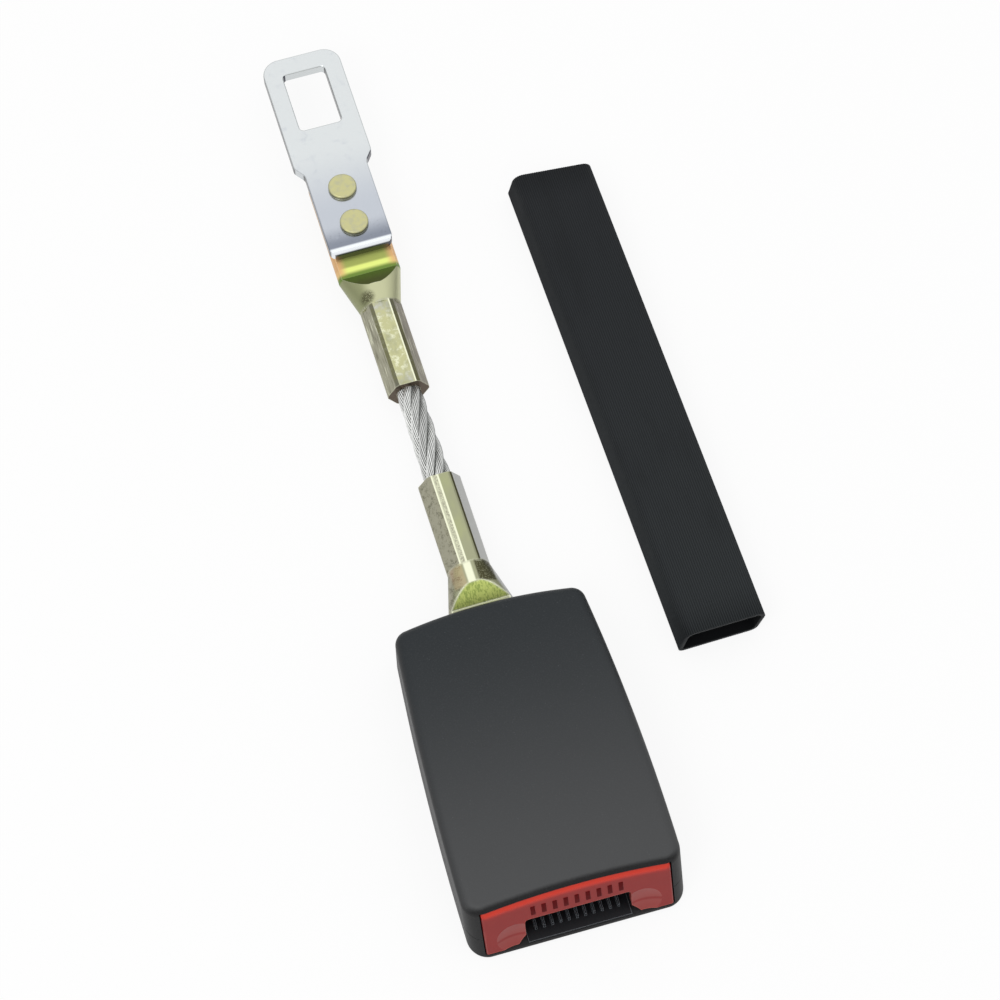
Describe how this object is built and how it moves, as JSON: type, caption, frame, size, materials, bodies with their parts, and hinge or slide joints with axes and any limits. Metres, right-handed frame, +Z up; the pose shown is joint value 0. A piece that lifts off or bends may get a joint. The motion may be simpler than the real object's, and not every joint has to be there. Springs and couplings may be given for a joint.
{
  "type": "seat belt extender",
  "caption": "Rigid-rope seat belt extender: a chromed tongue, a wire rope held in crimped ferrules, a push-button buckle, and its ribbed sleeve taken off beside it.",
  "frame": {"origin": "centre of the buckle's flat back face", "axes": "+Z up through the buckle, +Y from the buckle's mouth along the rope to the tongue, +X to the right facing along +Y"},
  "size_m": [0.0939, 0.2545, 0.0204],
  "materials": {
    "casing_plastic": "satin black moulded plastic",
    "guide_plastic": "plain black moulded plastic",
    "button_plastic": "red moulded plastic",
    "frame_steel": "plain pressed steel",
    "latch_steel": "hardened steel",
    "pin_steel": "turned steel",
    "spring_steel": "spring wire",
    "ferrule_zinc": "crimped steel, yellow chromate over zinc, worn on the edges",
    "rivet_zinc": "yellow zinc plate",
    "rope_wire": "galvanised stranded wire",
    "tongue_chrome": "bright chrome over stamped steel",
    "sleeve_rubber": "fine lengthwise ribs, matt black"
  },
  "bodies": {
    "buckle": {"top_cover": "casing_plastic", "bottom_cover": "casing_plastic", "mouth_guide": "guide_plastic", "buckle_frame": "frame_steel", "latch_pin": "pin_steel", "lower_ferrule": "ferrule_zinc", "wire_rope": "rope_wire", "anchor_rivet_front": "rivet_zinc", "anchor_rivet_rear": "rivet_zinc", "button_spring_left": "spring_steel", "button_spring_right": "spring_steel", "ejector_spring": "spring_steel", "latch_spring": "spring_steel"},
    "button": {"release_button": "button_plastic"},
    "latch": {"latch_pawl": "latch_steel"},
    "ejector": {"ejector": "guide_plastic"},
    "tongue_end": {"upper_ferrule": "ferrule_zinc", "tongue_plate": "tongue_chrome", "tongue_rivet_near": "rivet_zinc", "tongue_rivet_far": "rivet_zinc"},
    "sleeve": {"sleeve": "sleeve_rubber"}
  },
  "joints": [
    {"name": "button_press", "type": "slide", "parent": "buckle", "child": "button", "axis": [0, 1, 0], "range_m": [0, 0.005], "stiffness_N_per_m": 1200, "springref_m": -0.002, "deforming": ["button_spring_left", "button_spring_right"]},
    {"name": "latch_lift", "type": "hinge", "parent": "buckle", "child": "latch", "pos_m": [0, 0.00375, 0.0119], "axis": [-1, 0, 0], "range_deg": [0, 9], "deforming": ["latch_spring"]},
    {"name": "ejector_slide", "type": "slide", "parent": "buckle", "child": "ejector", "axis": [0, 1, 0], "range_m": [0, 0.016], "stiffness_N_per_m": 250, "springref_m": -0.004, "deforming": ["ejector_spring"]},
    {"name": "rope_flex", "type": "hinge", "parent": "buckle", "child": "tongue_end", "pos_m": [-0.00124, 0.09444, 0.006], "axis": [0.9998, 0.0195, 0], "range_deg": [-20, 20], "stiffness_Nm_per_rad": 5, "deforming": ["wire_rope"]},
    {"name": "sleeve_lift", "type": "slide", "parent": "buckle", "child": "sleeve", "axis": [0, 0, 1], "range_m": [0, 0.05]}
  ],
  "couplings": [
    {"joint": "latch_lift", "follows": "button_press", "rad_per_m": 31.4}
  ]
}
